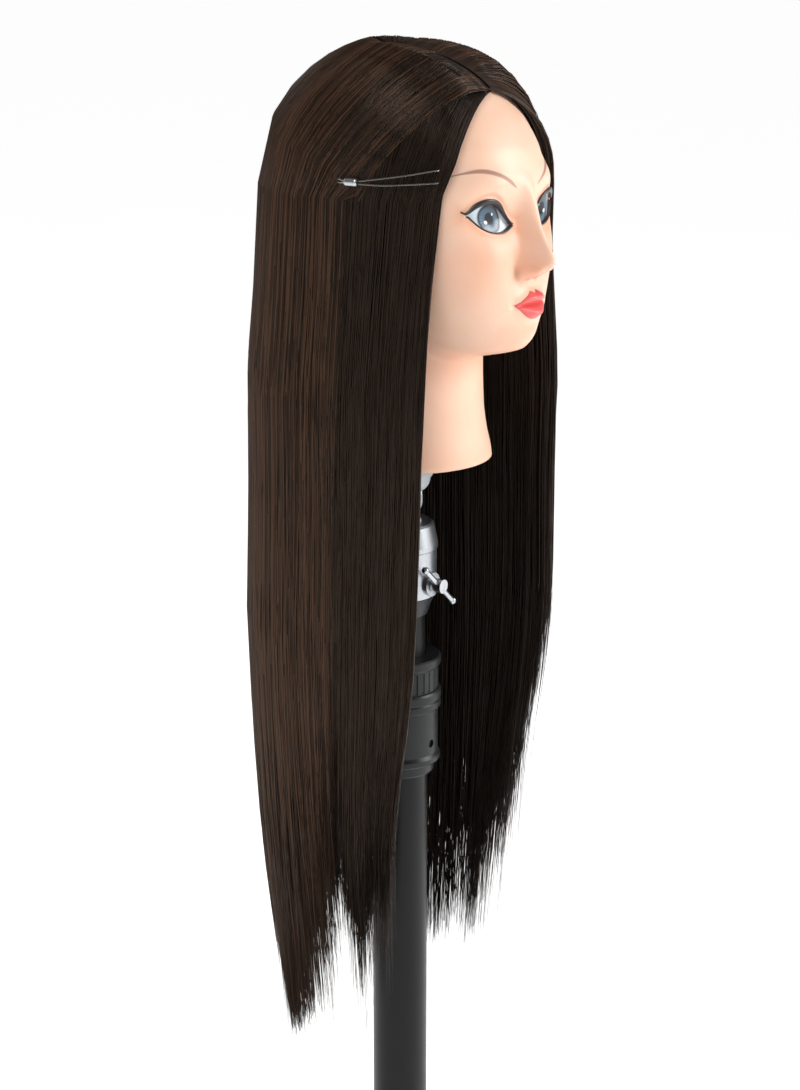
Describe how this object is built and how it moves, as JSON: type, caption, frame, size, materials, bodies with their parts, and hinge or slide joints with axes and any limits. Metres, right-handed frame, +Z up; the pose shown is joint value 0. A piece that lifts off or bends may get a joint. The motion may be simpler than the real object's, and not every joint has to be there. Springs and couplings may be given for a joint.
{
  "type": "mannequin training head",
  "caption": "Hairdressing training head with very long straight dark hair, on a telescopic tilting and swivelling tripod stand.",
  "frame": {"origin": "on the floor, on the axis of the pole", "axes": "+Z up along the pole, the face looks along -Y, the head's own left side is +X"},
  "size_m": [0.553, 0.483, 1],
  "materials": {
    "skin": "satin soft vinyl",
    "foam": "matte foam",
    "hair": "glossy synthetic fibre",
    "scalp": "matte rooted base",
    "eye": "glossy printed eye",
    "elastic": "clear elastic cord",
    "crimp": "satin",
    "grey_plastic": "light grey moulded plastic",
    "socket_plastic": "mid grey moulded plastic",
    "nickel": "nickel plated",
    "nylon": "natural nylon",
    "black_tube": "black powder coat",
    "black_plastic": "satin black moulded plastic",
    "rubber": "matte black rubber"
  },
  "bodies": {
    "pole": {"outer_tube": "black_tube", "bottom_cap": "black_plastic", "collar_body": "black_plastic", "collet": "nylon"},
    "hub": {"leg_hub": "black_plastic", "leg_pins": "nickel"},
    "hub_clamp": {"hub_screw": "nickel", "hub_knob": "black_plastic"},
    "leg_front": {"leg_front": "black_tube", "foot_front": "rubber"},
    "leg_left": {"leg_left": "black_tube", "foot_left": "rubber"},
    "leg_right": {"leg_right": "black_tube", "foot_right": "rubber"},
    "nut": {"lock_nut": "black_plastic"},
    "mast": {"inner_tube": "black_tube", "guide_plug": "nylon", "tube_cap": "black_plastic", "swivel_socket": "nickel"},
    "clamp": {"clamp_screw": "nickel"},
    "clamp_bar": {"t_bar": "nickel"},
    "stem": {"swivel_stem": "nickel", "stem_washer": "nylon"},
    "head": {"tilt_fork": "grey_plastic", "tilt_bolt": "nickel", "tilt_nut": "nickel", "fork_screws": "nickel", "spigot": "grey_plastic", "neck_socket": "socket_plastic", "neck_plug": "black_plastic", "head_shell": "skin", "foam_core": "foam", "scalp_cap": "scalp", "eye_left": "eye", "eye_right": "eye", "hair_left": "hair", "hair_right": "hair", "hair_back": "hair", "elastic_band": "elastic", "elastic_crimp": "crimp"}
  },
  "joints": [
    {"name": "hub_slide", "type": "slide", "parent": "pole", "child": "hub", "axis": [0, 0, 1], "range_m": [-0.03, 0.18]},
    {"name": "hub_clamp_turn", "type": "hinge", "parent": "hub", "child": "hub_clamp", "pos_m": [0, 0.034, 0.134], "axis": [0, 1, 0], "range_deg": [-360, 360]},
    {"name": "lock_nut_turn", "type": "hinge", "parent": "pole", "child": "nut", "pos_m": [0, 0, 0.549], "axis": [0, 0, 1], "range_deg": [0, 150]},
    {"name": "height_slide", "type": "slide", "parent": "pole", "child": "mast", "axis": [0, 0, 1], "range_m": [-0.025, 0.35]},
    {"name": "clamp_turn", "type": "hinge", "parent": "mast", "child": "clamp", "pos_m": [0, -0.034, 0.622], "axis": [0, 1, 0], "range_deg": [-180, 180]},
    {"name": "clamp_bar_slide", "type": "slide", "parent": "clamp", "child": "clamp_bar", "axis": [0.7431, 0, -0.6691], "range_m": [-0.013, 0.013]},
    {"name": "swivel", "type": "hinge", "parent": "mast", "child": "stem", "pos_m": [0, 0, 0.644], "axis": [0, 0, 1], "continuous": true},
    {"name": "tilt", "type": "hinge", "parent": "stem", "child": "head", "pos_m": [0, 0, 0.677], "axis": [1, 0, 0], "range_deg": [-30, 40], "deforming": ["hair_left", "hair_right", "hair_back"]},
    {"name": "leg_front_fold", "type": "hinge", "parent": "hub", "child": "leg_front", "pos_m": [0, -0.042, 0.118], "axis": [1, 0, 0], "range_deg": [0, 68]},
    {"name": "leg_left_fold", "type": "hinge", "parent": "hub", "child": "leg_left", "pos_m": [0.03637, 0.021, 0.118], "axis": [-0.5, 0.866, 0], "range_deg": [0, 68]},
    {"name": "leg_right_fold", "type": "hinge", "parent": "hub", "child": "leg_right", "pos_m": [-0.03637, 0.021, 0.118], "axis": [-0.5, -0.866, 0], "range_deg": [0, 68]}
  ]
}
